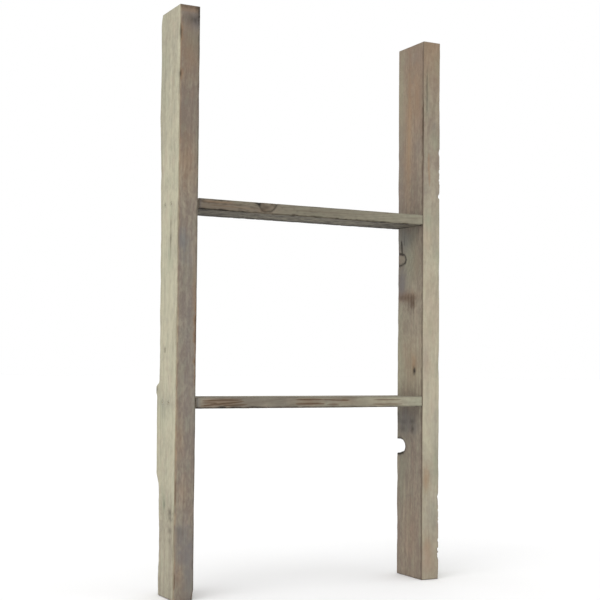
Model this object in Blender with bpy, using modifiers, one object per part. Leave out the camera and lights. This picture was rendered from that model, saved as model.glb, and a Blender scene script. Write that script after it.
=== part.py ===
"""Two-rung ladder rack for hanging quilts and blankets.

Two upright boards stand on edge, their wide faces outwards. Two flat boards span between them as
rungs. Each rung end butts against a stile and is held by two wood screws, driven through the stile
into the end of the rung. X runs along the rungs, Y from front to back, and Z up. The origin is on
the floor, at the centre of the rack.
"""

import math

import bmesh
import bpy
from mathutils import Matrix

# Boards, in metres: a 38 x 89 mm board for each stile and a thin board of the same depth for a rung
STILE_HEIGHT = 1.010
STILE_THICKNESS = 0.038
BOARD_DEPTH = 0.089
RUNG_LENGTH = 0.457
RUNG_THICKNESS = 0.020
RUNG_HEIGHTS = {"upper": 0.670, "lower": 0.330}
STILE_ARRIS = 0.0020
RUNG_ARRIS = 0.0012
ARRIS_SEGMENTS = 2
TOUCHING_GAP = 0.0003

# Where the stiles stand
INNER_FACE = RUNG_LENGTH / 2 + TOUCHING_GAP
OUTER_FACE = INNER_FACE + STILE_THICKNESS
SIDES = {"left": -1, "right": 1}

# The knot that has fallen out of the right stile, through its inner back corner
KNOT_HEIGHT = 0.243
KNOT_INSET = 0.010
KNOT_RADII = (0.030, 0.020, 0.015)

# Wood screws, two at each rung end, with their heads just below the stile's outer face
SCREW_ROWS = {"front": -0.014, "back": 0.014}
SCREW_LENGTH = 0.062
SCREW_SINK = 0.0010
HEAD_RADIUS = 0.0036
HEAD_RIM = 0.0005
HEAD_HEIGHT = 0.0032
SHANK_RADIUS = 0.0017
SHANK_LENGTH = 0.034
THREAD_RADIUS = 0.0021
CORE_RADIUS = 0.0014
THREAD_PITCH = 0.0028
THREAD_TURNS = 8
DRIVE_WIDTH = 0.0026
DRIVE_DEPTH = 0.0020
TURNED_STEPS = 16

# Holes for the screws
BORE_RADIUS = THREAD_RADIUS + TOUCHING_GAP
CUTTER_OVERRUN = 0.006
MERGE_DISTANCE = 0.00001

COLLECTION_NAME = "ladder_rack"
CUTTER_COLLECTION_NAME = "cutters"


def clear_scene():
    """Removes whatever objects the file opened with."""
    for item in list(bpy.data.objects):
        bpy.data.objects.remove(item)


def new_collection(name):
    """Makes a collection in the scene."""
    collection = bpy.data.collections.new(name)
    bpy.context.scene.collection.children.link(collection)
    return collection


def make_material(name, colour, roughness, metallic=0.0):
    """Makes a plain Principled material. colour is red, green and blue from 0 to 1."""
    material = bpy.data.materials.new(name)
    material.use_nodes = True
    shader = material.node_tree.nodes["Principled BSDF"]
    shader.inputs["Base Color"].default_value = (*colour, 1.0)
    shader.inputs["Roughness"].default_value = roughness
    shader.inputs["Metallic"].default_value = metallic
    material.diffuse_color = (*colour, 1.0)
    return material


def add_object(name, mesh, collection, material=None):
    """Links a new object with this mesh into a collection."""
    item = bpy.data.objects.new(name, mesh)
    collection.objects.link(item)
    if material is not None:
        mesh.materials.append(material)
    return item


def mark_as_cutter(item):
    """Hides a cutter from renders and draws it as a wire."""
    item.hide_render = True
    item.display_type = "WIRE"


def make_board(name, size, centre, arris, collection, material):
    """Makes a sawn board: a box of this size with slightly worn arrises."""
    mesh = bpy.data.meshes.new(name)
    shape = bmesh.new()
    bmesh.ops.create_cube(shape, size=1.0, matrix=Matrix.Diagonal((*size, 1.0)))
    shape.to_mesh(mesh)
    shape.free()
    board = add_object(name, mesh, collection, material)
    board.location = centre
    bevel = board.modifiers.new("worn_arrises", "BEVEL")
    bevel.width = arris
    bevel.segments = ARRIS_SEGMENTS
    return board


def make_turned(name, profile, collection, material=None):
    """Turns a profile about Z. Its points are (radius, height), from the top of the axis down."""
    mesh = bpy.data.meshes.new(name)
    shape = bmesh.new()
    points = [shape.verts.new((radius, 0.0, height)) for radius, height in profile]
    for upper, lower in zip(points, points[1:]):
        shape.edges.new((upper, lower))
    shape.to_mesh(mesh)
    shape.free()
    item = add_object(name, mesh, collection, material)
    turn = item.modifiers.new("turned", "SCREW")
    turn.axis = "Z"
    turn.steps = TURNED_STEPS
    turn.render_steps = TURNED_STEPS
    turn.use_merge_vertices = True
    turn.merge_threshold = MERGE_DISTANCE
    turn.use_smooth_shade = True
    return item


def cut(board, cutter, label):
    """Cuts a hole in a board."""
    mark_as_cutter(cutter)
    hole = board.modifiers.new(label, "BOOLEAN")
    hole.operation = "DIFFERENCE"
    hole.solver = "EXACT"
    hole.object = cutter


def screw_profile():
    """The outline of a wood screw, with its thread as rings. Height 0 is the top of the head."""
    outline = [
        (0.0, 0.0),
        (HEAD_RADIUS, 0.0),
        (HEAD_RADIUS, -HEAD_RIM),
        (SHANK_RADIUS, -HEAD_HEIGHT),
        (SHANK_RADIUS, -SHANK_LENGTH),
    ]
    for turn in range(THREAD_TURNS):
        top = -SHANK_LENGTH - turn * THREAD_PITCH
        outline.append((CORE_RADIUS, top - 0.3 * THREAD_PITCH))
        outline.append((THREAD_RADIUS, top - 0.7 * THREAD_PITCH))
    outline.append((CORE_RADIUS, -SHANK_LENGTH - THREAD_TURNS * THREAD_PITCH))
    outline.append((0.0, -SCREW_LENGTH))
    return outline


def stile_bore_profile():
    """The outline of a countersunk hole through a stile. Height 0 is the stile's outer face."""
    head_hole = HEAD_RADIUS + TOUCHING_GAP
    rim_floor = -SCREW_SINK - HEAD_RIM - TOUCHING_GAP
    cone_floor = rim_floor - (head_hole - BORE_RADIUS)
    through = -STILE_THICKNESS - CUTTER_OVERRUN
    return [
        (0.0, CUTTER_OVERRUN),
        (head_hole, CUTTER_OVERRUN),
        (head_hole, rim_floor),
        (BORE_RADIUS, cone_floor),
        (BORE_RADIUS, through),
        (0.0, through),
    ]


def pilot_profile():
    """The outline of a blind hole in a rung's end. Height 0 is the end face of the rung."""
    reach = SCREW_SINK + SCREW_LENGTH - STILE_THICKNESS
    return [
        (0.0, CUTTER_OVERRUN),
        (BORE_RADIUS, CUTTER_OVERRUN),
        (BORE_RADIUS, -reach),
        (0.0, -reach - BORE_RADIUS),
    ]


def face_outwards(item, side, x, y, z):
    """Puts a turned piece's top at this point, looking out to the left or the right."""
    item.location = (x, y, z)
    item.rotation_euler = (0.0, side * math.pi / 2, 0.0)


def cut_drive_recess(screw, side, x, y, z, cutters):
    """Sinks a square recess in a screw's head for the driver."""
    mesh = bpy.data.meshes.new(f"{screw.name}_drive")
    shape = bmesh.new()
    bmesh.ops.create_cone(
        shape,
        cap_ends=True,
        segments=4,
        radius1=0.35 * DRIVE_WIDTH,
        radius2=0.95 * DRIVE_WIDTH,
        depth=2 * DRIVE_DEPTH,
    )
    shape.to_mesh(mesh)
    shape.free()
    recess = add_object(f"{screw.name}_drive", mesh, cutters)
    face_outwards(recess, side, x, y, z)
    cut(screw, recess, "drive_recess")


def make_joint(level, side_name, row, stile, rung, collection, cutters, steel):
    """Drills one hole through a stile into the end of a rung, and puts the screw in it."""
    side = SIDES[side_name]
    name = f"{level}_{side_name}_{row}_screw"
    y = SCREW_ROWS[row]
    z = RUNG_HEIGHTS[level]

    bore = make_turned(f"{name}_bore", stile_bore_profile(), cutters)
    face_outwards(bore, side, side * OUTER_FACE, y, z)
    cut(stile, bore, f"{name}_bore")

    pilot = make_turned(f"{name}_pilot", pilot_profile(), cutters)
    face_outwards(pilot, side, side * RUNG_LENGTH / 2, y, z)
    cut(rung, pilot, f"{name}_pilot")

    screw = make_turned(name, screw_profile(), collection, steel)
    head_top = side * (OUTER_FACE - SCREW_SINK)
    face_outwards(screw, side, head_top, y, z)
    cut_drive_recess(screw, side, head_top, y, z, cutters)


def make_stile(side_name, collection, timber):
    """Makes one upright."""
    size = (STILE_THICKNESS, BOARD_DEPTH, STILE_HEIGHT)
    centre = (SIDES[side_name] * (INNER_FACE + STILE_THICKNESS / 2), 0.0, STILE_HEIGHT / 2)
    return make_board(f"{side_name}_stile", size, centre, STILE_ARRIS, collection, timber)


def make_rung(level, collection, timber):
    """Makes one rung."""
    size = (RUNG_LENGTH, BOARD_DEPTH, RUNG_THICKNESS)
    centre = (0.0, 0.0, RUNG_HEIGHTS[level])
    return make_board(f"{level}_rung", size, centre, RUNG_ARRIS, collection, timber)


def cut_fallen_knot(stile, cutters):
    """Scoops a lost knot out of a stile's inner back corner, open to both faces."""
    mesh = bpy.data.meshes.new("fallen_knot")
    shape = bmesh.new()
    oval = Matrix.Diagonal((*KNOT_RADII, 1.0))
    bmesh.ops.create_uvsphere(shape, u_segments=24, v_segments=14, radius=1.0, matrix=oval)
    shape.to_mesh(mesh)
    shape.free()
    knot = add_object("fallen_knot", mesh, cutters)
    knot.location = (INNER_FACE, BOARD_DEPTH / 2 - KNOT_INSET, KNOT_HEIGHT)
    cut(stile, knot, "fallen_knot")


def build():
    """Builds the whole rack."""
    clear_scene()
    collection = new_collection(COLLECTION_NAME)
    cutters = new_collection(CUTTER_COLLECTION_NAME)

    left_timber = make_material("weathered_pine_left", (0.42, 0.39, 0.29), 0.85)
    right_timber = make_material("weathered_pine_right", (0.38, 0.34, 0.27), 0.85)
    rung_timber = make_material("weathered_pine_rung", (0.22, 0.18, 0.13), 0.85)
    steel = make_material("dull_steel", (0.32, 0.31, 0.29), 0.45, metallic=1.0)

    stiles = {
        "left": make_stile("left", collection, left_timber),
        "right": make_stile("right", collection, right_timber),
    }
    rungs = {level: make_rung(level, collection, rung_timber) for level in RUNG_HEIGHTS}
    cut_fallen_knot(stiles["right"], cutters)
    for level in RUNG_HEIGHTS:
        for side_name in SIDES:
            for row in SCREW_ROWS:
                stile = stiles[side_name]
                make_joint(level, side_name, row, stile, rungs[level], collection, cutters, steel)


build()
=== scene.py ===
"""Looks for the quilt ladder rack: four weathered boards and eight sunk screws.

Each board is a fine closed lattice that takes the place of its plain solid. Its arrises are worn,
its knots, checks and nicks are cut into the mesh, and its masks (where the wood is pale, rusty,
green or sooty, where shade and shadow are painted on, and so on) ride on the mesh for the
material to read. Lengths are in metres.
"""

import itertools
import math

import bpy
import numpy as np
from mathutils import Matrix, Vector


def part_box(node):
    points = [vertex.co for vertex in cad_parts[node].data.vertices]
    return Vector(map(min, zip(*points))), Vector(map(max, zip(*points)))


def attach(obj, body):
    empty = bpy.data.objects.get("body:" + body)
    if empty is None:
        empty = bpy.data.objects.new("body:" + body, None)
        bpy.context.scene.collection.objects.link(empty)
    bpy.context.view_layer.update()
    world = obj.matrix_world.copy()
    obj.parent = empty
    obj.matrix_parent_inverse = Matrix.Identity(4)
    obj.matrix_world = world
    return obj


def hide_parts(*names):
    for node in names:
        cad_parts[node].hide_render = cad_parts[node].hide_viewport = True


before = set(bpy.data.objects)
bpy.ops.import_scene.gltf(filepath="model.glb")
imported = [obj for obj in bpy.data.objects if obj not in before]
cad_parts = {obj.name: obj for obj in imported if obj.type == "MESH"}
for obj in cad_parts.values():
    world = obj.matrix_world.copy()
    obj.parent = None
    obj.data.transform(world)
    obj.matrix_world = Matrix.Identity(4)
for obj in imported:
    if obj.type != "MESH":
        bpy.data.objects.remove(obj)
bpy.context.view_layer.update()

# The camera: low and to the rack's left, looking slightly up
CAMERA_PLACE = (-1.0610, -1.9950, 0.3933)
CAMERA_HEADING = math.radians(27.835)
CAMERA_TILT = math.radians(2.603)
CAMERA_ROLL = math.radians(0.490)
CAMERA_LENS_MM = 74.69
CAMERA_SENSOR_MM = 36.0
CAMERA_SHIFT_Y = 0.0167

# The studio: one wide soft sun from above and the front left, over a large round floor
SUN_STRENGTH = 0.9
SUN_SPREAD = math.radians(50.0)
SUN_TURN = (math.radians(40.0), 0.0, math.radians(-62.0))
FLOOR_RADIUS = 40.0
FLOOR_DROP = 0.0005

# Lattice of a board: the gaps between its lines, which are finer near the board's own edges
ALONG_SPACING = 0.0030
STILE_ACROSS_SPACING = 0.0016
RUNG_ACROSS_SPACING = 0.0009
EDGE_REACH = 0.003
EDGE_FINER = 3.0
SPACING_SAMPLES = 6000
ARRIS_ROUND = 0.0016

# How the wood's surface is worked
STAIN_DEPTH = 0.012  # how far a stain reaches in from its face
KNOT_GROOVE = 0.0006
RAGGED_FADE = 0.01  # the length over which a ragged run starts or ends
WORN_CUT = 0.0010  # an arris cut this deep shows as fully worn
WANE_CUT = 0.0015  # and so does a wane cut this deep
WANE_LUMPS = 0.0006
RIDGE_SPACING = 0.0042
RIDGE_HEIGHT = 0.00008
FIBRE_HEIGHT = 0.00016
WAVE_HEIGHT = 0.00030
SURFACE_DROP = 0.00035  # keeps the rough surface inside the board's box
RUNG_END = 0.457  # the last place along a rung


def axis_place(screw):
    """The depth and height of a screw's axis, from the middle of its box."""
    low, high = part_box(screw)
    return [(low[axis] + high[axis]) / 2 for axis in (1, 2)]


# The holes over the sunk screws, which sit in two rows at each rung's level
SCREW_ROWS, SCREW_LEVELS = zip(axis_place("lower_left_front_screw"), axis_place("upper_left_back_screw"))
SCREW_HOLE_RADIUS = 0.0040
SCREW_HOLE_DEPTH = 0.0016
SCREW_HOLE_RIM = 0.0016
SCREW_HALO = 0.009
SCREW_CLOSE_UP = 0.0055

# The knot that fell out through the right stile's inner back arris
FALLEN_KNOT_HEIGHT = 0.243
FALLEN_KNOT_INSET = 0.010
FALLEN_KNOT_RADII = (0.030, 0.020, 0.015)
FALLEN_KNOT_SIZE = 0.018  # its radius, taken as the same all round
FALLEN_KNOT_RIM = 0.0026

# Wood colours, as linear red, green and blue. Plum and slate also tint painted shadow.
TAUPE = (0.190, 0.152, 0.122)
BLEACHED = (0.475, 0.446, 0.322)
SILVER = (0.250, 0.245, 0.215)
RUST = (0.290, 0.172, 0.088)
ROSE = (0.420, 0.315, 0.245)
MOSS = (0.275, 0.305, 0.215)
PLUM_AND_SHADOW = (0.160, 0.146, 0.146)
SLATE_AND_SHADOW = (0.150, 0.158, 0.160)
GRAIN_BROWN = (0.085, 0.048, 0.026)
HEARTWOOD = (0.125, 0.085, 0.058)
BARK = (0.018, 0.014, 0.010)

# Each face's axis, and which end of it the face is at. Then the masks that a board's mesh carries.
AXES = {"left": (0, 0), "right": (0, 1), "front": (1, 0), "back": (1, 1), "under": (2, 0), "top": (2, 1)}
MASKS = ("pale", "rose", "rust", "moss", "plum", "slate", "soot", "vein", "knot", "bark", "wear", "end")

# Large odd numbers that stir whole numbers until they look random
CELL_STIRS = (374761393, 668265263, 1442695041)
SEED_STIR = 951274213
LAST_STIR = 1274126177


# ---------------- numbers that look like nature

def hashed(cells, seed):
    """A repeatable number from -1 to 1 for each row of whole-number cell coordinates."""
    mixed = (cells * CELL_STIRS).sum(axis=1)
    mixed = (mixed + seed * SEED_STIR) & 0xFFFFFFFF
    mixed = ((mixed ^ (mixed >> 13)) * LAST_STIR) & 0xFFFFFFFF
    mixed = mixed ^ (mixed >> 16)
    return (mixed & 0xFFFFFF) / 0x7FFFFF - 1.0


def noise(points, seed):
    """Smooth noise from -1 to 1, with one cell a unit."""
    low = np.floor(points).astype(np.int64)
    part = points - low
    part = part * part * (3.0 - 2.0 * part)
    total = np.zeros(len(points))
    for corner in itertools.product((0, 1), repeat=3):
        weight = np.where(np.array(corner), part, 1.0 - part).prod(axis=1)
        total += weight * hashed(low + np.array(corner), seed)
    return total


def layered_noise(points, seed, layers=3):
    """Noise with finer and weaker copies of itself on top."""
    total = sum(noise(points * 2.0**k, seed + k) / 2.0**k for k in range(layers))
    return total / (2.0 - 2.0 ** (1 - layers))


def smooth_step(values, low, high):
    """0 below low, 1 above high, and a smooth ramp between."""
    t = np.clip((values - low) / (high - low), 0.0, 1.0)
    return t * t * (3.0 - 2.0 * t)


def steps_at(places, steps):
    """The amount at each place, from (place, amount) steps joined by straight lines."""
    return np.interp(places, *zip(*steps))


# ---------------- the lattice of a board

def spaced(low, high, spacing, close_ups):
    """Lattice lines from low to high, drawn together at each close-up (place, reach, times finer)."""
    s = np.linspace(low, high, SPACING_SAMPLES)
    density = np.full_like(s, 1.0 / spacing)
    for place, reach, finer in close_ups:
        density = np.maximum(density, (1.0 / spacing) * finer * np.exp(-(((s - place) / reach) ** 4)))
    passed = np.concatenate(([0.0], np.cumsum((density[1:] + density[:-1]) / 2 * np.diff(s))))
    count = math.ceil(passed[-1])
    return np.interp(np.linspace(0.0, passed[-1], count + 1), passed, s)


def box_lattice(lines):
    """The points and outward quads of a closed box whose edges lie on these lines along X, Y and Z."""
    counts = [len(line) for line in lines]
    skin = np.ones(counts, bool)
    skin[1:-1, 1:-1, 1:-1] = False
    number = np.full(counts, -1)
    number[skin] = np.arange(skin.sum())
    at = np.argwhere(skin)
    points = np.stack([lines[axis][at[:, axis]] for axis in range(3)], axis=1)
    quads = []
    for axis, end in itertools.product(range(3), (0, -1)):
        sheet = number.take(end, axis=axis)
        corners = [sheet[:-1, :-1], sheet[1:, :-1], sheet[1:, 1:], sheet[:-1, 1:]]
        corners = np.stack(corners, axis=-1).reshape(-1, 4)
        outward = (end == -1) != (axis == 1)
        quads.append(corners if outward else corners[:, ::-1])
    return points, np.concatenate(quads)


def round_arrises(points, low, high, radius):
    """Rounds a box's edges. Returns the moved points and their outward normals."""
    core = np.clip(points, low + radius, high - radius)
    out = points - core
    normals = out / np.linalg.norm(out, axis=1, keepdims=True)
    return core + radius * normals, normals


class Board:
    """One board: its lattice, its masks, and the tools that wear and stain it and paint shade on it.

    grain is the axis that runs along the board. pith is where the tree's centre lies at the board's
    low end, from the board's middle, and pith_drift is how far it has moved at the other end.
    """

    def __init__(self, node, grain, seed, pith, pith_drift, across_spacing, close_ups=()):
        self.node = node
        self.grain = grain
        self.seed = seed
        low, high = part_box(node)
        self.low = np.array(low)
        self.high = np.array(high)
        self.middle = (self.low + self.high) / 2
        self.cross = [axis for axis in range(3) if axis != grain]
        self.pith = np.array(pith)
        self.pith_drift = np.array(pith_drift)
        lines = []
        for axis in range(3):
            spacing = ALONG_SPACING if axis == grain else across_spacing
            ends = [(edge[axis], EDGE_REACH, EDGE_FINER) for edge in (self.low, self.high)]
            extra = [(place, reach, finer) for on, place, reach, finer in close_ups if on == axis]
            lines.append(spaced(self.low[axis], self.high[axis], spacing, ends + extra))
        self.flat, self.quads = box_lattice(lines)
        self.points, self.normals = round_arrises(self.flat, self.low, self.high, ARRIS_ROUND)
        self.along = self.flat[:, grain] - self.low[grain]
        self.levels, self.level = np.unique(self.along, return_inverse=True)
        self.masks = {name: np.zeros(len(self.flat)) for name in MASKS}
        self.masks["end"] = np.abs(self.normals[:, grain]) ** 2
        self.warp = np.zeros_like(self.flat)
        self.knot_rings = np.full(len(self.flat), np.inf)

    # Places on the board. across is from a face's low side, and along from the board's low end.

    def side_of(self, face):
        """The axis that runs across a face."""
        return next(axis for axis in self.cross if axis != AXES[face][0])

    def spot(self, face, across, along):
        """A point on a face."""
        axis, end = AXES[face]
        side = self.side_of(face)
        point = np.zeros(3)
        point[axis] = self.high[axis] if end else self.low[axis]
        point[side] = self.low[side] + across
        point[self.grain] = self.low[self.grain] + along
        return point

    def facing(self, face):
        """How much each point faces that way, from 0 to 1."""
        axis, end = AXES[face]
        return np.clip(self.normals[:, axis] * (1 if end else -1), 0.0, 1.0) ** 2

    def oval(self, face, across, along, wide, long, deep, ragged):
        """Distance from an oval's centre, as 1 at its rim. ragged makes the rim uneven."""
        radii = np.full(3, float(wide))
        radii[AXES[face][0]] = deep
        radii[self.grain] = long
        offset = self.flat - self.spot(face, across, along)
        away = np.linalg.norm(offset / radii, axis=1)
        near = away < 4.0
        rough = offset[near] / min(wide, long) * 1.6 + along * 37.0
        away[near] *= 1.0 + ragged * layered_noise(rough, self.seed)
        return away

    def waver(self, rate, seed, layers=3):
        """Noise that changes only along the board, with this many cells a metre."""
        at = np.zeros((len(self.levels), 3))
        at[:, 0] = self.levels * rate
        at[:, 1] = seed * 7.3
        return layered_noise(at, self.seed + seed, layers)[self.level]

    # Colour masks

    def cover(self, mask, values):
        """Raises a mask to these values wherever it is lower."""
        self.masks[mask] = np.maximum(self.masks[mask], values)

    def wash(self, mask, face, *steps):
        """Lays a mask over a whole face, as (along, amount) steps."""
        self.masks[mask] += self.facing(face) * steps_at(self.along, steps)

    def stain(self, mask, face, across, along, wide, long, strength, ragged=0.5):
        """Lays a soft uneven patch of a mask on one face."""
        away = self.oval(face, across, along, wide, long, STAIN_DEPTH, ragged)
        self.masks[mask] += strength * np.exp(-(away**2)) * self.facing(face)

    def stains(self, face, *rows):
        """Lays stains on a face, as (mask, across, along, wide, long, strength, maybe ragged) rows."""
        for mask, *shape in rows:
            self.stain(mask, face, *shape)

    def speckle(self, mask, face, size, *steps):
        """Scatters small uneven patches of a mask over a face, as (along, amount) steps."""
        cell = np.where(np.arange(3) == self.grain, 2.5 * size, size)
        patches = smooth_step(layered_noise(self.flat / cell, self.seed + 90), 0.0, 0.45)
        self.masks[mask] += self.facing(face) * patches * steps_at(self.along, steps)

    def edging(self, mask, face, beside, width, *steps):
        """Lays an uneven strip of a mask on a face, next to the arris that it shares with another."""
        axis, end = AXES[beside]
        gap = np.abs(self.flat[:, axis] - (self.high[axis] if end else self.low[axis]))
        reach = width * (1.0 + 0.7 * self.waver(85.0, 60 + axis, 4))
        strip = 1.0 - smooth_step(gap, 0.35 * reach, 1.05 * reach)
        self.masks[mask] += strip * self.facing(face) * steps_at(self.along, steps)

    def line(self, face, start, end, width, wander):
        """A soft line on a face, from one (across, along) place to another, thin at its ends."""
        a = self.spot(face, *start)
        run = self.spot(face, *end) - a
        share = np.clip((self.flat - a) @ run / (run @ run), 0.0, 1.0)
        nearest = a + share[:, None] * run
        nearest[:, self.side_of(face)] += wander * self.waver(60.0, 70 + int(start[0] * 1000))
        gap = np.linalg.norm(self.flat - nearest, axis=1)
        taper = np.sqrt(np.clip(4.0 * share * (1.0 - share), 0.05, 1.0))
        return np.exp(-((gap / (width * taper)) ** 2)) * self.facing(face)

    def vein(self, face, start, end, width, strength, mask="vein", wander=0.0008):
        """Draws a thin band of a mask, such as dark grain."""
        self.masks[mask] += strength * self.line(face, start, end, width, wander)

    # Shape

    def check(self, face, start, end, width, depth, wander=0.0010, dark=1.0):
        """Opens a crack, from one (across, along) place to another."""
        crack = self.line(face, start, end, width, wander)
        self.cover("bark", dark * crack)
        self.points -= self.normals * (depth * crack)[:, None]

    def knot(self, face, across, along, wide, long, rim=0.0011, deep=0.03, inside=0.4, dark=1.0):
        """Sets a tight knot: a dark line in a slight groove, with the grain bending round it."""
        away = self.oval(face, across, along, wide, long, deep, 0.16)
        offset = self.flat - self.spot(face, across, along)
        from_rim = np.linalg.norm(offset, axis=1) * (1.0 - 1.0 / np.maximum(away, 0.05))
        ring = np.exp(-((from_rim / rim) ** 2)) * dark
        self.cover("knot", inside * (1.0 - smooth_step(away, 0.85, 1.0)))
        self.knot_rings[away < 1.0] = (away * min(wide, long))[away < 1.0]
        self.cover("bark", ring)
        self.points -= self.normals * (KNOT_GROOVE * ring)[:, None]
        pull = offset * (0.75 * np.exp(-(away**2) / 5.0))[:, None]
        pull[:, self.grain] = 0.0
        self.warp -= pull

    def plane_off(self, faces, depth, lean=1.0):
        """Planes the arris between two faces down to this depth.

        A lean over 1 makes the cut run further over the first face than over the second.
        """
        cut = np.zeros(3)
        for face, share in zip(faces, (lean, 1.0)):
            axis, end = AXES[face]
            cut[axis] = share if end else -share
        cut /= np.linalg.norm(cut)
        corner = np.where(cut > 0, self.high, self.low)
        reach = np.where(cut != 0, corner, 0.0) @ cut - depth
        over = np.maximum(self.points @ cut - reach, 0.0)
        self.points -= over[:, None] * cut
        return over

    def wear_arris(self, faces, depth, roughness, seed, nicks=(), ragged=()):
        """Wears an arris unevenly.

        Each nick is (along, half its length, its depth). Each ragged run is (from, to, its depth).
        """
        worn = depth + roughness * np.clip(self.waver(28.0, seed, 4) + 0.15, 0.0, 1.0)
        for along, half, bite in nicks:
            worn = np.maximum(worn, bite * (1.0 - np.minimum(((self.along - along) / half) ** 2, 1.0)))
        for start, end, bite in ragged:
            bites = smooth_step(self.waver(110.0, seed + 8, 4), -0.05, 0.40)
            inside = smooth_step(self.along, start, start + RAGGED_FADE)
            inside *= 1.0 - smooth_step(self.along, end - RAGGED_FADE, end)
            worn = worn + bite * bites * inside
        over = self.plane_off(faces, worn)
        self.cover("wear", smooth_step(over, 0.0, WORN_CUT))

    def wane(self, faces, lean, *steps):
        """Leaves an arris rounded, where the board reached the bark, as (along, depth) steps."""
        depth = steps_at(self.along, steps) * (1.0 + 0.22 * self.waver(22.0, 80, 4))
        over = np.zeros(len(self.flat))
        for turn, share in ((2.4, 0.52), (1.0, 1.0), (0.35, 0.80)):
            over += self.plane_off(faces, share * depth, turn * lean)
        worn = smooth_step(over, 0.0, WANE_CUT)
        self.cover("wear", worn)
        stretch = np.where(np.arange(3) == self.grain, 45.0, 260.0)
        lumps = worn * (1.0 - self.masks["end"]) * layered_noise(self.flat * stretch, self.seed + 81)
        self.points += self.normals * (WANE_LUMPS * lumps)[:, None]

    def drill(self, face):
        """Opens the shallow holes over the sunk screws in a stile's outer face."""
        axis, end = AXES[face]
        for y, z in itertools.product(SCREW_ROWS, SCREW_LEVELS):
            away = np.hypot(self.flat[:, 1] - y, self.flat[:, 2] - z)
            hole = 1.0 - smooth_step(away, 0.82 * SCREW_HOLE_RADIUS, SCREW_HOLE_RADIUS)
            hole *= self.facing(face)
            self.points[:, axis] -= (1 if end else -1) * SCREW_HOLE_DEPTH * hole
            rim = np.exp(-(((away - SCREW_HOLE_RADIUS) / SCREW_HOLE_RIM) ** 2)) * self.facing(face)
            halo = np.exp(-((away / SCREW_HALO) ** 2)) * self.facing(face)
            self.masks["soot"] += 0.08 * rim + 0.1 * hole
            self.masks["moss"] += 0.25 * halo

    def scoop(self, faces, along, inset, radii):
        """Takes a fallen knot out of the arris between two faces, inset from the second one."""
        centre = np.zeros(3)
        inward = np.zeros(3)
        for face, gap in zip(faces, (0.0, inset)):
            axis, end = AXES[face]
            outward = 1.0 if end else -1.0
            centre[axis] = (self.high[axis] if end else self.low[axis]) - outward * gap
            inward[axis] = -outward * radii[axis]
        centre[self.grain] = self.low[self.grain] + along
        inward /= np.linalg.norm(inward)
        lumps = 1.0 + 0.07 * layered_noise((self.flat - centre) * 140.0, self.seed + 9)
        spread = np.array(radii) * lumps[:, None]
        start = (self.points - centre) / spread
        way = inward / spread
        a = (way * way).sum(axis=1)
        b = (start * way).sum(axis=1)
        c = (start * start).sum(axis=1) - 1.0
        reach = (-b + np.sqrt(np.maximum(b * b - a * c, 0.0))) / a
        inside = c < 0.0
        self.points += np.where(inside, reach, 0.0)[:, None] * inward
        from_rim = (np.sqrt(c + 1.0) - 1.0) * FALLEN_KNOT_SIZE
        rim = np.exp(-((from_rim / FALLEN_KNOT_RIM) ** 2))
        rotten = 0.35 + 0.55 * smooth_step(layered_noise(self.flat * 260.0, self.seed + 11), -0.1, 0.5)
        self.cover("bark", np.where(inside, rotten, 0.85 * rim))
        self.cover("knot", np.where(inside, 0.8, 0.0))

    def roughen(self):
        """Raises the hard grain and lets the surface wander, as on an old sawn board."""
        stretch = np.arange(3) == self.grain
        ridges = np.sin(self.ring_distance() * 2.0 * math.pi / RIDGE_SPACING)
        fibres = layered_noise(self.flat * np.where(stretch, 9.0, 420.0), self.seed + 20)
        waves = layered_noise(self.flat * np.where(stretch, 7.0, 30.0), self.seed + 30, 2)
        lift = RIDGE_HEIGHT * ridges + FIBRE_HEIGHT * fibres + WAVE_HEIGHT * waves - SURFACE_DROP
        lift *= 1.0 - 0.8 * self.masks["end"]
        self.points += self.normals * lift[:, None]

    def ring_distance(self):
        """Distance from the tree's centre, which leans and wanders slowly along the board."""
        sway = np.stack([self.waver(2.5, 40), self.waver(2.5, 41)], axis=1)
        height = (self.along / (self.high - self.low)[self.grain])[:, None]
        centre = self.pith + self.pith_drift * height + 0.008 * sway
        where = (self.flat + self.warp)[:, self.cross] - self.middle[self.cross]
        stretch = np.where(np.arange(3) == self.grain, 6.0, 40.0)
        rings = np.linalg.norm(where - centre, axis=1)
        rings = np.minimum(rings, self.knot_rings)
        return rings + 0.0022 * layered_noise(self.flat * stretch, self.seed + 42, 2)

    def grain_place(self):
        """Where each point lies in the tree: ring distance, place across it, and height."""
        where = self.flat + self.warp
        turned = where[:, self.cross[0]] * 0.8 + where[:, self.cross[1]] * 0.6
        return np.stack([self.ring_distance(), turned, self.along + self.seed], axis=1)

    def finish(self, name, slot_name, ring_spacing, ring_strength):
        """Makes the mesh object, with its masks and material, in place of its plain solid."""
        self.roughen()
        mesh = bpy.data.meshes.new(name)
        mesh.from_pydata(self.points.tolist(), [], self.quads.tolist())
        mesh.shade_smooth()
        for mask, values in self.masks.items():
            layer = mesh.attributes.new(mask, "FLOAT", "POINT")
            layer.data.foreach_set("value", np.clip(values, 0.0, 1.0).astype(np.float32))
        layer = mesh.attributes.new("grain", "FLOAT_VECTOR", "POINT")
        layer.data.foreach_set("vector", self.grain_place().astype(np.float32).ravel())
        mesh.materials.append(weathered_wood(slot_name, ring_spacing, ring_strength))
        piece = bpy.data.objects.new(name, mesh)
        bpy.context.scene.collection.objects.link(piece)
        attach(piece, "root")
        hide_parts(self.node)


# ---------------- materials

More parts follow.
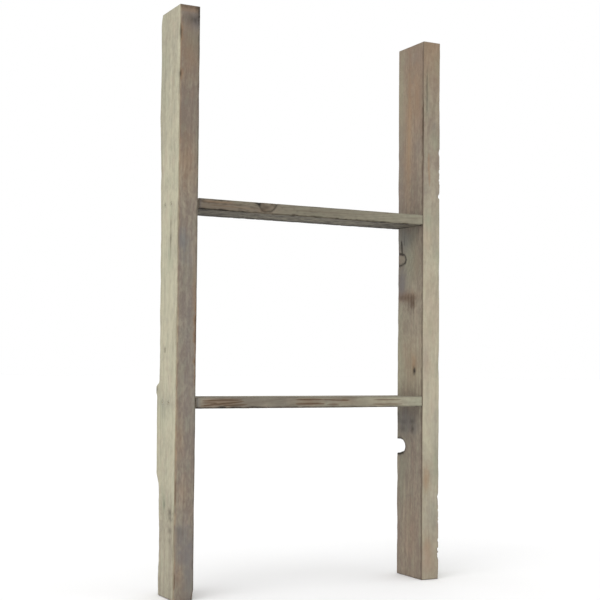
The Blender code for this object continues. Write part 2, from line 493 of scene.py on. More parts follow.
class Paint:
    """Builds a material's nodes."""

    # Where a colour mix node keeps its two colours and its result
    MIX_COLOURS = (6, 7)
    MIX_RESULT = 2

    def __init__(self, name):
        self.material = bpy.data.materials.new(name)
        self.material.use_nodes = True
        self.tree = self.material.node_tree
        self.shader = self.tree.nodes["Principled BSDF"]

    def node(self, kind, **settings):
        """Adds a node."""
        node = self.tree.nodes.new(kind)
        for key, value in settings.items():
            setattr(node, key, value)
        return node

    def feed(self, socket, value):
        """Links a value from another node, or sets a plain one."""
        if isinstance(value, bpy.types.NodeSocket):
            self.tree.links.new(value, socket)
        elif socket.type == "RGBA":
            socket.default_value = (*value, 1.0)
        else:
            socket.default_value = value

    def mask(self, name):
        """A mask that the mesh carries."""
        return self.node("ShaderNodeAttribute", attribute_name=name).outputs["Fac"]

    def noise(self, place, scale, detail):
        """Noise at a place stretched by this scale, which is in cells a metre."""
        stretch = self.node("ShaderNodeMapping")
        self.feed(stretch.inputs["Vector"], place)
        stretch.inputs["Scale"].default_value = scale
        texture = self.node("ShaderNodeTexNoise")
        self.feed(texture.inputs["Vector"], stretch.outputs["Vector"])
        texture.inputs["Scale"].default_value = 1.0
        texture.inputs["Detail"].default_value = detail
        return texture.outputs["Fac"]

    def ramp(self, value, low, high, to_low=0.0, to_high=1.0):
        """Stretches a value from low and high to new ends."""
        node = self.node("ShaderNodeMapRange", interpolation_type="SMOOTHSTEP")
        self.feed(node.inputs["Value"], value)
        for key, number in zip(("From Min", "From Max", "To Min", "To Max"), (low, high, to_low, to_high)):
            node.inputs[key].default_value = number
        return node.outputs["Result"]

    def maths(self, operation, a, b):
        """One sum on two values."""
        node = self.node("ShaderNodeMath", operation=operation)
        self.feed(node.inputs[0], a)
        self.feed(node.inputs[1], b)
        return node.outputs["Value"]

    def mix(self, factor, a, b):
        """Blends colour b over colour a."""
        node = self.node("ShaderNodeMix", data_type="RGBA", clamp_factor=True)
        self.feed(node.inputs["Factor"], factor)
        for place, colour in zip(self.MIX_COLOURS, (a, b)):
            self.feed(node.inputs[place], colour)
        return node.outputs[self.MIX_RESULT]

    def masked(self, colour, name, strength, over):
        """Blends a colour over another where a mask is, at this strength."""
        return self.mix(self.maths("MULTIPLY", self.mask(name), strength), colour, over)

    def bump(self, height, strength, distance, normal=None):
        """Turns a height into a bumpy normal."""
        node = self.node("ShaderNodeBump")
        node.inputs["Strength"].default_value = strength
        node.inputs["Distance"].default_value = distance
        self.feed(node.inputs["Height"], height)
        if normal is not None:
            self.feed(node.inputs["Normal"], normal)
        return node.outputs["Normal"]


def weathered_wood(name, ring_spacing, ring_strength):
    """Old sawn softwood under the rest of a grey wash. Its masks come from the board's mesh; some also
    paint shade and shadow.
    """
    paint = Paint(name)

    # Patterns, laid out in the tree's own rings
    grain = paint.node("ShaderNodeAttribute", attribute_name="grain").outputs["Vector"]
    clouds = paint.noise(grain, (40.0, 40.0, 22.0), 4.0)
    tints = paint.noise(grain, (60.0, 60.0, 32.0), 4.0)
    mottle = paint.noise(grain, (200.0, 200.0, 110.0), 3.0)
    streaks = paint.noise(grain, (160.0, 160.0, 5.0), 4.0)
    rings = paint.noise(grain, (1.0 / ring_spacing, 12.0, 2.5), 2.0)
    fibres = paint.noise(grain, (900.0, 900.0, 18.0), 3.0)
    hairs = paint.noise(grain, (2600.0, 2600.0, 80.0), 2.0)
    specks = paint.noise(grain, (900.0, 900.0, 300.0), 2.0)
    patchy = paint.ramp(clouds, 0.35, 0.65, 0.25 * ring_strength, ring_strength)
    plainer = paint.maths("MAXIMUM", paint.mask("end"), paint.mask("knot"))
    patchy = paint.maths("ADD", patchy, paint.maths("MULTIPLY", plainer, 0.35))
    latewood = paint.maths("MULTIPLY", paint.ramp(rings, 0.48, 0.66), patchy)

    # Colour, from the wash to the finest marks
    pale = paint.mask("pale")
    for pattern, swing in ((streaks, 0.08), (clouds, 0.10), (mottle, 0.11)):
        pale = paint.maths("ADD", pale, paint.ramp(pattern, 0.3, 0.7, -swing, swing))
    colour = paint.mix(pale, TAUPE, BLEACHED)
    colour = paint.mix(paint.ramp(tints, 0.50, 0.72, 0.0, 0.22), colour, MOSS)
    colour = paint.mix(paint.ramp(tints, 0.46, 0.28, 0.0, 0.22), colour, ROSE)
    # Plum and slate are real stains and also painted shadow below the rungs
    for mask, tint in (("rose", ROSE), ("moss", MOSS), ("plum", PLUM_AND_SHADOW), ("slate", SLATE_AND_SHADOW), ("rust", RUST)):
        colour = paint.masked(colour, mask, 0.8, tint)
    colour = paint.mix(latewood, colour, HEARTWOOD)
    colour = paint.masked(colour, "vein", 0.9, GRAIN_BROWN)
    colour = paint.mix(paint.ramp(fibres, 0.45, 0.75, 0.0, 0.15), colour, GRAIN_BROWN)
    colour = paint.mix(paint.ramp(hairs, 0.35, 0.65, 0.0, 0.12), colour, SILVER)
    colour = paint.mix(paint.ramp(specks, 0.68, 0.78, 0.0, 0.35), colour, BARK)
    colour = paint.masked(colour, "knot", 0.7, HEARTWOOD)
    colour = paint.masked(colour, "wear", 0.30, GRAIN_BROWN)
    colour = paint.masked(colour, "end", 0.40, GRAIN_BROWN)
    # Soot here is real dirt and also painted shade: arrises turned from the light, rung undersides, the
    # joint gap and patches below the rungs
    soot_and_shade_amount = paint.maths("MULTIPLY", paint.mask("soot"), paint.ramp(mottle, 0.3, 0.7, 0.7, 1.1))
    colour = paint.mix(soot_and_shade_amount, colour, BARK)
    colour = paint.masked(colour, "bark", 0.95, BARK)
    paint.feed(paint.shader.inputs["Base Color"], colour)

    # Gloss and surface
    paint.feed(paint.shader.inputs["Roughness"], paint.ramp(fibres, 0.2, 0.8, 0.72, 0.95))
    paint.shader.inputs["Specular IOR Level"].default_value = 0.3
    coarse = paint.bump(paint.maths("ADD", rings, streaks), 0.2, 0.0009)
    fine = paint.bump(fibres, 0.5, 0.0006, coarse)
    paint.feed(paint.shader.inputs["Normal"], paint.bump(hairs, 0.35, 0.0003, fine))
    return paint.material


def screw_steel():
    """Dull zinc under old wash, with blotches of rust."""
    paint = Paint("screw_steel")
    place = paint.node("ShaderNodeTexCoord").outputs["Object"]
    blotches = paint.noise(place, (600.0, 600.0, 600.0), 4.0)
    scratches = paint.noise(place, (4000.0, 900.0, 900.0), 3.0)
    rusty = paint.ramp(blotches, 0.50, 0.70)
    paint.feed(paint.shader.inputs["Base Color"], paint.mix(rusty, (0.42, 0.40, 0.31), (0.26, 0.19, 0.12)))
    paint.feed(paint.shader.inputs["Metallic"], paint.ramp(rusty, 0.0, 1.0, 0.6, 0.1))
    paint.feed(paint.shader.inputs["Roughness"], paint.ramp(rusty, 0.0, 1.0, 0.5, 0.9))
    paint.feed(paint.shader.inputs["Normal"], paint.bump(scratches, 0.3, 0.0002))
    return paint.material


def floor_material():
    """A plain pale floor."""
    paint = Paint("studio_floor")
    place = paint.node("ShaderNodeTexCoord").outputs["Object"]
    mottle = paint.noise(place, (3.0, 3.0, 3.0), 2.0)
    paint.feed(paint.shader.inputs["Base Color"], paint.mix(mottle, (0.86, 0.86, 0.86), (0.88, 0.88, 0.88)))
    paint.shader.inputs["Roughness"].default_value = 0.9
    paint.shader.inputs["Specular IOR Level"].default_value = 0.2
    return paint.material


# ---------------- the four boards

def screw_close_ups():
    """Fine lattice lines round the screws, as (axis, place, reach, times finer)."""
    rows = [(1, y, SCREW_CLOSE_UP, 2.4) for y in SCREW_ROWS]
    levels = [(2, z, SCREW_CLOSE_UP, 4.5) for z in SCREW_LEVELS]
    return rows + levels


def make_left_stile():
    """The left upright: pale outside, brown in front, with a waney outer back arris."""
    board = Board(
        "left_stile", grain=2, seed=1, pith=(0.030, -0.055), pith_drift=(0.010, 0.030),
        across_spacing=STILE_ACROSS_SPACING, close_ups=screw_close_ups(),
    )

    # Outer face
    board.wash(
        "pale", "left",
        (0, 0.50), (0.12, 0.58), (0.20, 0.80), (0.29, 0.88), (0.50, 1.05),
        (0.65, 0.95), (0.72, 0.92), (0.80, 0.80), (0.90, 0.76), (1, 0.77),
    )
    board.edging("pale", "left", "front", 0.012, (0, 0.15), (1, 0.20))
    board.edging("pale", "front", "left", 0.0030, (0, 0.70), (1, 0.70))
    board.vein("left", (0.030, 0.575), (0.031, 0.650), 0.0030, 0.40)
    board.stains(
        "left",
        ("soot", 0.030, 0.610, 0.0045, 0.0080, 0.45),
        ("soot", 0.030, 0.636, 0.0035, 0.0045, 0.30),
        ("moss", 0.034, 0.580, 0.012, 0.022, 0.55),
    )
    board.knot("left", 0.050, 0.420, 0.0040, 0.0045, 0.0012, 0.004, 0.45, 0.35)
    board.stain("soot", "left", 0.044, 0.156, 0.0040, 0.0090, 0.45)
    board.stain("moss", "left", 0.046, 0.160, 0.0060, 0.0200, 0.60)
    for height, strength in ((0.147, 0.55), (0.136, 0.45), (0.115, 0.40), (0.097, 0.28)):
        board.stain("soot", "left", 0.018, height, 0.0060, 0.0050, strength, 0.9)
        board.stain("vein", "left", 0.018, height, 0.0090, 0.0075, 0.4 * strength, 0.9)
    board.stain("plum", "left", 0.035, 0.327, 0.040, 0.009, 0.22)
    board.speckle("plum", "left", 0.0065, (0, 0.14), (0.3, 0.18), (1, 0.18))
    board.speckle("moss", "left", 0.0090, (0, 0.15), (1, 0.20))
    board.stain("moss", "left", 0.060, 0.310, 0.025, 0.030, 0.35)
    board.stain("moss", "left", 0.070, 0.900, 0.020, 0.080, 0.25)

    # Front face
    board.wash(
        "pale", "front",
        (0, 0.04), (0.12, 0.17), (0.30, 0.09), (0.50, 0.07), (0.72, 0.14), (0.79, 0.02), (1, 0.0),
    )
    board.wash("vein", "front", (0.75, 0.0), (0.80, 0.10), (0.90, 0.10), (1, 0.06))
    # Painted shade: a dark strip along the front face's right arris, where the rounded arris turns away
    # from the light
    board.edging("soot", "front", "right", 0.0045, (0, 0.60), (0.30, 0.45), (0.60, 0.50), (1, 0.60))
    board.edging("rust", "front", "right", 0.0060, (0.35, 0.0), (0.38, 1.0), (0.48, 1.0), (0.52, 0.0))
    board.edging("vein", "front", "right", 0.0044, (0.35, 0.0), (0.38, 0.6), (0.48, 0.6), (0.52, 0.0))
    board.edging("rust", "front", "left", 0.0036, (0, 0.50), (0.25, 0.60), (0.5, 0.20), (1, 0.20))
    board.vein("front", (0.0038, 0.020), (0.0036, 0.500), 0.0012, 0.38, "rust", 0.0016)
    board.vein("front", (0.0034, 0.450), (0.0032, 0.990), 0.0012, 0.30, "rust", 0.0012)
    board.stains(
        "front",
        ("rust", 0.018, 0.925, 0.016, 0.045, 0.45),
        ("rust", 0.016, 0.740, 0.016, 0.050, 0.50),
        ("rust", 0.009, 0.270, 0.006, 0.030, 0.35),
        ("rust", 0.016, 0.180, 0.010, 0.022, 0.25),
        ("rust", 0.010, 0.040, 0.008, 0.022, 0.30),
        ("slate", 0.029, 0.040, 0.010, 0.045, 0.55),
        ("rust", 0.033, 0.520, 0.004, 0.050, 0.50),
        ("plum", 0.030, 0.980, 0.014, 0.016, 0.90),
        ("slate", 0.010, 0.606, 0.012, 0.018, 0.60),
        ("plum", 0.010, 0.606, 0.012, 0.018, 0.50),
        ("plum", 0.018, 0.574, 0.014, 0.014, 0.50),
        ("plum", 0.025, 0.480, 0.016, 0.080, 0.35),
        ("plum", 0.014, 0.112, 0.016, 0.018, 0.75, 0.9),
        ("plum", 0.022, 0.075, 0.018, 0.026, 0.75, 0.9),
        ("plum", 0.028, 0.330, 0.012, 0.090, 0.35),
        ("soot", 0.013, 0.114, 0.010, 0.009, 0.22, 1.2),
        ("pale", 0.008, 0.468, 0.008, 0.010, 0.22),
        ("soot", 0.022, 0.986, 0.020, 0.009, 0.30),
        ("moss", 0.026, 0.952, 0.014, 0.022, 0.35),
        ("soot", 0.026, 0.950, 0.014, 0.022, 0.12),
        ("soot", 0.028, 0.985, 0.010, 0.008, 0.18),
        ("soot", 0.037, 1.000, 0.007, 0.020, 0.50),
    )
    board.edging("rust", "front", "top", 0.014, (0, 0.55), (1.01, 0.55))
    board.edging("soot", "front", "top", 0.008, (0, 0.45), (1.01, 0.45))

    # Hidden faces
    board.wash("pale", "right", (0, 0.25), (0.5, 0.35), (1, 0.25))
    board.wash("pale", "back", (0, 0.35), (0.5, 0.45), (1, 0.40))
    # Painted shadow: dark patches on the hidden inner face just below each rung
    board.stain("soot", "right", 0.045, 0.300, 0.040, 0.022, 0.25)
    board.stain("soot", "right", 0.045, 0.640, 0.040, 0.022, 0.25)
    board.knot("back", 0.022, 0.700, 0.008, 0.012, inside=0.9, dark=0.7)
    board.stain("rust", "back", 0.022, 0.700, 0.012, 0.030, 0.35)
    board.knot("right", 0.060, 0.150, 0.007, 0.010, inside=0.9, dark=0.7)
    board.stain("rust", "right", 0.060, 0.150, 0.012, 0.030, 0.35)
    board.speckle("rust", "right", 0.020, (0, 0.25), (1, 0.25))
    board.speckle("plum", "back", 0.015, (0, 0.30), (1, 0.30))

    nicks = (
        (0.958, 0.020, 0.0030),
        (0.889, 0.014, 0.0026),
        (0.150, 0.018, 0.0024),
        (0.090, 0.020, 0.0020),
        (0.045, 0.022, 0.0026),
    )
    board.wear_arris(("left", "front"), 0.0010, 0.0036, 1, nicks)
    for height, half in ((0.962, 0.0120), (0.890, 0.0055)):
        board.stain("bark", "front", 0.0010, height, 0.0026, half, 0.85, 0.5)
        board.stain("bark", "left", 0.0005, height, 0.0022, 0.7 * half, 0.55, 0.5)
        board.stain("rust", "front", 0.0030, height, 0.0036, 1.3 * half, 0.80, 0.5)
    for low_end, high_end in ((0.018, 0.046), (0.158, 0.200)):
        board.vein("front", (0.002, low_end), (0.002, high_end), 0.0018, 0.8)
    board.wear_arris(("right", "front"), 0.0010, 0.0010, 2, [(0.003, 0.014, 0.0040)])
    board.wear_arris(("right", "back"), 0.0010, 0.0020, 4)
    board.wane(
        ("left", "back"), 2.1,
        (0, 0.0088), (0.16, 0.0096), (0.190, 0.0085), (0.207, 0.0034), (0.300, 0.0022), (0.340, 0.0024),
        (0.346, 0.0002), (0.357, 0.0002), (0.364, 0.0062), (0.50, 0.0064), (0.75, 0.0046),
        (0.83, 0.0012), (0.93, 0.0022), (0.99, 0.0012), (1.0, 0.0018), (1.01, 0.0040),
    )
    board.stain("bark", "left", 0.086, 0.3515, 0.006, 0.0045, 0.7, 0.3)
    board.drill("left")
    board.finish("left_stile_board", "left_stile_wood", ring_spacing=0.0046, ring_strength=0.24)


def make_right_stile():
    """The right upright: brown inside, paler in front, with a fallen knot at its inner back arris."""
    knot_close_ups = [(2, FALLEN_KNOT_HEIGHT, 0.024, 3.4), (2, 0.612, 0.020, 2.2)]
    board = Board(
        "right_stile", grain=2, seed=2, pith=(-0.040, 0.050), pith_drift=(0.020, -0.020),
        across_spacing=STILE_ACROSS_SPACING, close_ups=screw_close_ups() + knot_close_ups,
    )

    # Inner face
    board.wash(
        "pale", "left",
        (0, 0.10), (0.20, 0.13), (0.30, 0.15), (0.38, 0.50), (0.46, 0.38),
        (0.56, 0.16), (0.66, 0.0), (0.73, 0.0), (0.80, 0.12), (1, 0.0),
    )
    board.wash(
        "rust", "left",
        (0, 0.12), (0.30, 0.05), (0.42, 0.20), (0.55, 0.02), (0.70, 0.08), (0.88, 0.36), (1, 0.30),
    )
    board.edging(
        "vein", "left", "front", 0.0075,
        (0, 0.45), (0.40, 0.60), (0.60, 0.40), (0.80, 0.60),
        (0.83, 0.85), (0.88, 0.85), (0.90, 0.45), (1, 0.40),
    )
    board.edging(
        "soot", "left", "front", 0.0055,
        (0, 0.20), (0.40, 0.35), (0.60, 0.20), (0.80, 0.40),
        (0.83, 0.60), (0.88, 0.60), (0.90, 0.22), (1, 0.20),
    )
    board.stains(
        "left",
        ("moss", 0.080, 0.910, 0.014, 0.110, 0.70),
        ("rust", 0.050, 0.850, 0.008, 0.130, 0.46),
        ("pale", 0.050, 0.850, 0.008, 0.130, 0.18),
        ("rust", 0.024, 0.915, 0.014, 0.050, 0.30),
        ("plum", 0.018, 0.812, 0.014, 0.020, 0.45),
        ("plum", 0.036, 0.985, 0.024, 0.012, 0.35),
        ("plum", 0.078, 0.800, 0.016, 0.090, 0.40),
        ("plum", 0.076, 0.560, 0.016, 0.030, 0.65),
        # Painted shadow under the upper rung: the slate patch, with the pale and moss patches toning it
        ("slate", 0.064, 0.638, 0.034, 0.030, 0.80),
        ("pale", 0.050, 0.620, 0.040, 0.044, 0.26),
        ("moss", 0.046, 0.615, 0.026, 0.030, 0.42),
        ("moss", 0.048, 0.572, 0.028, 0.026, 0.34),
        ("rust", 0.022, 0.590, 0.016, 0.045, 0.20),
        ("moss", 0.080, 0.420, 0.014, 0.080, 0.50),
        ("rust", 0.060, 0.780, 0.012, 0.070, 0.25),
    )
    board.knot("left", 0.081, 0.6008, 0.0216, 0.0110, 0.0027, 0.03, 0.20)
    board.check("left", (0.0800, 0.6115), (0.0660, 0.6105), 0.0018, 0.0006, 0.0003, 0.9)
    board.check("left", (0.0730, 0.609), (0.0760, 0.638), 0.0028, 0.0010)
    board.check("left", (0.0640, 0.626), (0.0665, 0.645), 0.0018, 0.0005, dark=0.45)
    board.stains(
        "left",
        ("plum", 0.076, 0.556, 0.016, 0.016, 0.60),
        ("plum", 0.072, 0.534, 0.016, 0.009, 0.80),
        ("rust", 0.055, 0.529, 0.034, 0.010, 0.55),
        ("plum", 0.060, 0.528, 0.024, 0.009, 0.60),
        ("vein", 0.076, 0.528, 0.014, 0.006, 0.40),
        ("vein", 0.052, 0.526, 0.026, 0.007, 0.52),
        ("vein", 0.035, 0.515, 0.011, 0.010, 0.60),
    )
    for across, low_end, strength in (
        (0.060, 0.506, 0.28),
        (0.050, 0.500, 0.36),
        (0.040, 0.500, 0.48),
        (0.032, 0.495, 0.46),
    ):
        board.vein("left", (across, low_end), (across, 0.534), 0.0030, strength)
    board.stains(
        "left",
        ("pale", 0.030, 0.545, 0.010, 0.014, 0.25),
        ("bark", 0.029, 0.387, 0.0046, 0.0070, 1.1, 0.4),
        ("rust", 0.030, 0.400, 0.008, 0.018, 0.60),
        ("rust", 0.045, 0.400, 0.022, 0.050, 0.20),
        # Painted shadow below the lower rung: these plum, slate and soot patches
        ("plum", 0.055, 0.296, 0.034, 0.026, 0.50),
        ("slate", 0.055, 0.290, 0.034, 0.024, 0.48),
        ("soot", 0.050, 0.308, 0.040, 0.009, 0.08),
        ("soot", 0.034, 0.277, 0.0050, 0.0065, 0.66),
        ("soot", 0.035, 0.292, 0.0080, 0.0045, 0.44),
        ("soot", 0.066, 0.290, 0.0120, 0.0050, 0.36),
        ("soot", 0.066, 0.276, 0.0100, 0.0055, 0.40),
        ("soot", 0.084, 0.300, 0.0060, 0.0160, 0.45),
        ("moss", 0.072, 0.190, 0.016, 0.060, 0.45),
        ("rust", 0.040, 0.080, 0.030, 0.070, 0.20),
    )

    # Front face
    board.wash(
        "pale", "front",
        (0, 0.42), (0.12, 0.68), (0.20, 0.60), (0.29, 1.04), (0.45, 0.82),
        (0.62, 0.78), (0.72, 0.38), (0.80, 0.21), (0.88, 0.24), (1, 0.22),
    )
    board.wash("rust", "front", (0, 0.04), (0.15, 0.0), (0.75, 0.02), (0.90, 0.22), (1, 0.60))
    board.wash("rose", "front", (0, 0.10), (0.10, 0.16), (0.60, 0.16), (0.80, 0.10), (1, 0.0))
    board.speckle("rose", "front", 0.012, (0, 0.25), (0.7, 0.22), (0.85, 0.05), (1, 0.0))
    board.speckle("moss", "front", 0.008, (0, 0.12), (0.7, 0.14), (1, 0.05))
    board.speckle("plum", "front", 0.010, (0, 0.15), (1, 0.15))
    board.check("front", (0.0085, 0.876), (0.0080, 0.958), 0.0011, 0.0010, dark=0.65)
    board.stain("moss", "front", 0.009, 0.910, 0.005, 0.050, 0.50)
    board.vein("front", (0.014, 0.735), (0.012, 0.800), 0.0022, 0.70, "rust")
    board.stains(
        "front",
        ("moss", 0.028, 0.820, 0.010, 0.020, 0.55),
        ("moss", 0.012, 0.670, 0.008, 0.020, 0.60),
        ("moss", 0.034, 0.595, 0.006, 0.030, 0.40),
        ("moss", 0.034, 0.390, 0.006, 0.020, 0.45),
        ("moss", 0.030, 0.215, 0.010, 0.030, 0.55),
        ("rust", 0.014, 0.630, 0.012, 0.020, 0.16),
        ("rust", 0.012, 0.545, 0.012, 0.020, 0.14),
        ("rust", 0.014, 0.470, 0.014, 0.030, 0.14),
        ("rust", 0.010, 0.400, 0.010, 0.020, 0.14),
        ("moss", 0.030, 0.970, 0.008, 0.020, 0.40),
        ("rust", 0.009, 0.185, 0.008, 0.022, 0.75),
        ("rose", 0.008, 0.400, 0.008, 0.050, 0.45),
        ("rose", 0.010, 0.040, 0.010, 0.030, 0.50),
        ("plum", 0.026, 0.850, 0.010, 0.020, 0.25),
        ("slate", 0.026, 0.630, 0.008, 0.020, 0.30),
        ("slate", 0.030, 0.285, 0.010, 0.045, 0.30),
        ("plum", 0.006, 0.412, 0.006, 0.030, 0.30),
        ("slate", 0.024, 0.120, 0.012, 0.050, 0.28),
        ("rust", 0.012, 0.065, 0.010, 0.020, 0.45),
        ("rust", 0.018, 0.035, 0.016, 0.030, 0.25),
    )
    board.edging(
        "soot", "front", "right", 0.0022,
        (0, 0.35), (0.3, 0.15), (0.6, 0.15), (0.8, 0.45), (1, 0.35),
    )

    # Hidden faces
    board.wash("pale", "right", (0, 0.5), (0.5, 0.6), (1, 0.5))
    board.wash("pale", "back", (0, 0.35), (0.5, 0.45), (1, 0.40))
    board.knot("right", 0.058, 0.470, 0.009, 0.013, inside=0.9, dark=0.7)
    board.speckle("rust", "right", 0.020, (0, 0.20), (1, 0.25))
    board.speckle("plum", "back", 0.015, (0, 0.30), (1, 0.30))
    board.stain("moss", "right", 0.045, 0.090, 0.045, 0.080, 0.50)
    for level, row in itertools.product(SCREW_LEVELS, SCREW_ROWS):
        across = row - board.low[1]
        board.stain("soot", "right", across, level, 0.0070, 0.0075, 0.35)
        board.stain("rust", "right", across, level - 0.010, 0.0045, 0.018, 0.50)
    board.stain("rust", "right", 0.040, 0.960, 0.045, 0.040, 0.35)
    board.stain("rust", "right", 0.058, 0.470, 0.016, 0.040, 0.35)
    board.check("right", (0.030, 0.040), (0.034, 0.130), 0.0012, 0.0012)

    board.wear_arris(("left", "front"), 0.0008, 0.0010, 1)
    ragged = ((0.680, 0.775, 0.0030), (0.030, 0.160, 0.0024))
    board.wear_arris(("right", "front"), 0.0010, 0.0014, 2, [(0.800, 0.010, 0.0030)], ragged)
    board.wear_arris(("left", "back"), 0.0012, 0.0015, 3)
    board.wear_arris(("right", "back"), 0.0015, 0.0025, 4)
    board.scoop(("left", "back"), FALLEN_KNOT_HEIGHT, FALLEN_KNOT_INSET, FALLEN_KNOT_RADII)
    board.drill("right")
    board.finish("right_stile_board", "right_stile_wood", ring_spacing=0.0044, ring_strength=0.24)


def wear_rung(board):
    """What the two rungs share: arrises ragged below, painted shadow in the left joint's gap and pale
    hidden faces.
    """
    for number, pair in enumerate(itertools.product(("front", "back"), ("top", "under"))):
        ragged = [(-RAGGED_FADE, RUNG_END + RAGGED_FADE, 0.0014)] if pair[1] == "under" else []
        board.wear_arris(pair, 0.0006, 0.0010, number + 1, ragged=ragged)
    # Painted shadow in the gap at the left joint, where the rung meets the stile: soot and slate strips
    board.edging("soot", "front", "left", 0.0030, (0, 0.52), (1, 0.52))
    board.edging("slate", "front", "left", 0.0080, (0, 0.60), (1, 0.60))
    board.edging("soot", "under", "left", 0.0040, (0, 0.60), (1, 0.60))
    board.wash("pale", "top", (0, 0.35), (RUNG_END, 0.45))
    board.wash("pale", "back", (0, 0.25), (RUNG_END, 0.35))


def make_upper_rung():
    """The upper rung: brown and dark at the left, with half a knot hanging from its top arris."""
    board = Board(
        "upper_rung", grain=0, seed=3, pith=(-0.045, 0.020), pith_drift=(0.030, 0.006),
        across_spacing=RUNG_ACROSS_SPACING, close_ups=[(0, -0.097, 0.024, 1.8)],
    )
    board.wash("pale", "front", (0, 0.0), (0.2, 0.06), (0.33, 0.16), (RUNG_END, 0.22))
    board.wash("moss", "front", (0, 0.10), (0.12, 0.25), (0.2, 0.50), (RUNG_END, 0.40))
    board.wash(
        "soot", "front",
        (0, 0.34), (0.10, 0.25), (0.13, 0.15), (0.22, 0.22), (0.33, 0.09), (RUNG_END, 0.06),
    )
    # Painted shade under the rung, over real dirt: the soot on the underside, heaviest toward its right end
    board.wash(
        "soot", "under",
        (0, 0.50), (0.10, 0.40), (0.22, 0.20), (0.32, 0.30), (0.40, 0.55), (RUNG_END, 0.60),
    )
    board.edging(
        "vein", "front", "under", 0.0032,
        (0, 0.90), (0.06, 0.80), (0.11, 0.45), (0.22, 0.50), (0.32, 0.35), (RUNG_END, 0.20),
    )
    # Painted shade: a dark soot strip along the front's lower arris, where it turns from the light
    board.edging(
        "soot", "front", "under", 0.0036,
        (0, 0.75), (0.05, 0.65), (0.10, 0.32), (0.22, 0.42), (0.32, 0.22), (RUNG_END, 0.10),
    )
    # Painted shade: the underside darker along both its arrises, most along the back one
    board.edging("soot", "under", "front", 0.0060, (0, 0.55), (0.10, 0.30), (0.30, 0.35), (RUNG_END, 0.20))
    board.edging("soot", "under", "back", 0.026, (0, 0.75), (RUNG_END, 0.75))
    board.speckle("soot", "front", 0.0030, (0, 0.35), (0.25, 0.15), (RUNG_END, 0.08))
    board.speckle("soot", "under", 0.0060, (0, 0.50), (RUNG_END, 0.60))
    board.wash("moss", "under", (0, 0.40), (0.22, 0.55), (RUNG_END, 0.40))
    board.wash("rust", "under", (0, 0.14), (RUNG_END, 0.18))
    for across in (0.014, 0.032, 0.050, 0.068):
        board.vein("under", (across, -0.04), (across + 0.006, 0.40), 0.0026, 0.80, "soot", 0.0050)
    board.edging("soot", "front", "top", 0.0020, (0, 0.40), (0.15, 0.42), (0.25, 0.60), (RUNG_END, 0.50))
    board.knot("front", 0.0205, 0.131, 0.0168, 0.0175, 0.0019, 0.05, 0.50, 0.72)
    board.stains(
        "front",
        ("soot", 0.0160, 0.1155, 0.0035, 0.0030, 0.60),
        ("soot", 0.0190, 0.112, 0.0045, 0.0060, 0.60),
        ("soot", 0.0120, 0.124, 0.0045, 0.0060, 0.35),
    )
    board.wash("rust", "front", (0, 0.22), (0.12, 0.16), (RUNG_END, 0.06))
    board.vein("front", (0.0150, 0.006), (0.0155, 0.065), 0.0016, 0.60, "rust")
    board.vein("front", (0.0130, 0.010), (0.0120, 0.080), 0.0012, 0.50)
    board.vein("front", (0.0090, 0.020), (0.0075, 0.110), 0.0012, 0.35, "rust")
    board.vein("front", (0.0100, 0.170), (0.0120, 0.330), 0.0012, 0.35)
    board.stain("rust", "front", 0.0060, 0.125, 0.004, 0.010, 0.40)
    wear_rung(board)
    board.finish("upper_rung_board", "upper_rung_wood", ring_spacing=0.0030, ring_strength=0.40)


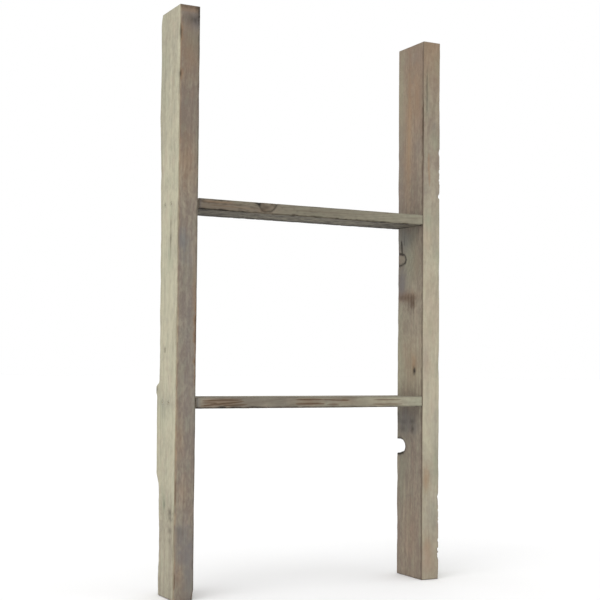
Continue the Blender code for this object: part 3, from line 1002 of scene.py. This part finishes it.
def make_lower_rung():
    """The lower rung: strong dark grain at the left and round the middle, pale at the right end."""
    board = Board(
        "lower_rung", grain=0, seed=4, pith=(0.040, -0.030), pith_drift=(-0.020, 0.004),
        across_spacing=RUNG_ACROSS_SPACING,
    )
    board.wash(
        "pale", "front",
        (0, 0.12), (0.05, 0.05), (0.16, 0.0), (0.23, 0.10), (0.30, 0.13), (0.38, 0.46), (RUNG_END, 0.66),
    )
    board.wash("moss", "front", (0, 0.10), (0.15, 0.20), (RUNG_END, 0.30))
    board.wash(
        "soot", "front",
        (0, 0.06), (0.08, 0.22), (0.12, 0.10), (0.16, 0.18), (0.25, 0.08),
        (0.30, 0.10), (0.34, 0.06), (0.38, 0.0), (RUNG_END, 0.0),
    )
    # Painted shade: the underside darkened all over
    board.wash("soot", "under", (0, 0.50), (RUNG_END, 0.50))
    # Painted shade: a dark soot strip along the front's lower arris, where it turns from the light
    board.edging("soot", "front", "under", 0.0044, (0, 0.90), (0.10, 0.85), (0.17, 0.55), (RUNG_END, 0.45))
    board.edging("vein", "front", "under", 0.0034, (0, 0.60), (0.12, 0.50), (0.20, 0.25), (RUNG_END, 0.20))
    board.wash("soot", "top", (0, 0.25), (RUNG_END, 0.25))
    board.edging("soot", "front", "top", 0.0020, (0, 0.45), (0.15, 0.50), (RUNG_END, 0.50))
    for across, rise, start, end, strength in (
        (0.0140, 0.0010, 0.012, 0.086, 1.60),
        (0.0050, 0.0075, 0.010, 0.090, 1.60),
        (0.0055, 0.0015, 0.050, 0.096, 0.90),
        (0.0100, 0.0000, 0.012, 0.040, 0.60),
        (0.0150, 0.0000, 0.190, 0.245, 1.30),
        (0.0075, 0.0000, 0.190, 0.250, 1.40),
        (0.0150, -0.0020, 0.245, 0.300, 0.55),
        (0.0060, 0.0005, 0.255, 0.280, 0.50),
        (0.0140, 0.0000, 0.352, 0.410, 0.50),
        (0.0060, 0.0000, 0.350, 0.412, 0.54),
        (0.0135, 0.0000, 0.283, 0.300, 0.90),
    ):
        board.vein("front", (across, start), (across + rise, end), 0.0011, 1.8 * strength, wander=0.0007)
        board.vein("front", (across, start), (across + rise, end), 0.0022, 0.40 * strength, "rust", 0.0007)
    board.stains(
        "front",
        ("rust", 0.0110, 0.045, 0.006, 0.035, 0.25),
        ("rust", 0.0110, 0.215, 0.005, 0.030, 0.35),
        ("rust", 0.0110, 0.370, 0.004, 0.030, 0.15),
        ("rust", 0.0100, 0.300, 0.008, 0.030, 0.25),
    )
    wear_rung(board)
    board.finish("lower_rung_board", "lower_rung_wood", ring_spacing=0.0030, ring_strength=0.40)


def finish_screws():
    """Gives the CAD screws their dull steel."""
    steel = screw_steel()
    for name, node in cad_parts.items():
        if name.endswith("_screw"):
            for place in node.material_slots:
                place.material = steel


# ---------------- studio

def make_camera():
    """The camera, turned to its heading, tilted up and rolled."""
    lens = bpy.data.cameras.new("camera")
    lens.lens = CAMERA_LENS_MM
    lens.sensor_width = CAMERA_SENSOR_MM
    lens.shift_y = CAMERA_SHIFT_Y
    camera = bpy.data.objects.new("camera", lens)
    turn = Matrix.Rotation(-CAMERA_HEADING, 4, "Z")
    turn @= Matrix.Rotation(math.pi / 2 + CAMERA_TILT, 4, "X")
    turn @= Matrix.Rotation(CAMERA_ROLL, 4, "Z")
    camera.matrix_world = Matrix.Translation(CAMERA_PLACE) @ turn
    bpy.context.scene.collection.objects.link(camera)
    bpy.context.scene.camera = camera


def make_studio():
    """A pale floor, an even pale surround and one wide soft light."""
    world = bpy.data.worlds.new("studio")
    bpy.context.scene.world = world
    world.use_nodes = True
    surround = world.node_tree.nodes["Background"]
    surround.inputs["Color"].default_value = (1.0, 1.0, 1.0, 1.0)
    surround.inputs["Strength"].default_value = 1.0

    sun = bpy.data.lights.new("soft_key", "SUN")
    sun.energy = SUN_STRENGTH
    sun.angle = SUN_SPREAD
    key = bpy.data.objects.new("soft_key", sun)
    key.rotation_euler = SUN_TURN
    bpy.context.scene.collection.objects.link(key)

    bpy.ops.mesh.primitive_circle_add(vertices=96, radius=FLOOR_RADIUS, fill_type="NGON")
    floor = bpy.context.object
    floor.name = "studio_floor"
    floor.location.z = -FLOOR_DROP
    floor.data.materials.append(floor_material())

    bpy.context.scene.view_settings.view_transform = "Standard"


make_camera()
make_studio()
make_left_stile()
make_right_stile()
make_upper_rung()
make_lower_rung()
finish_screws()
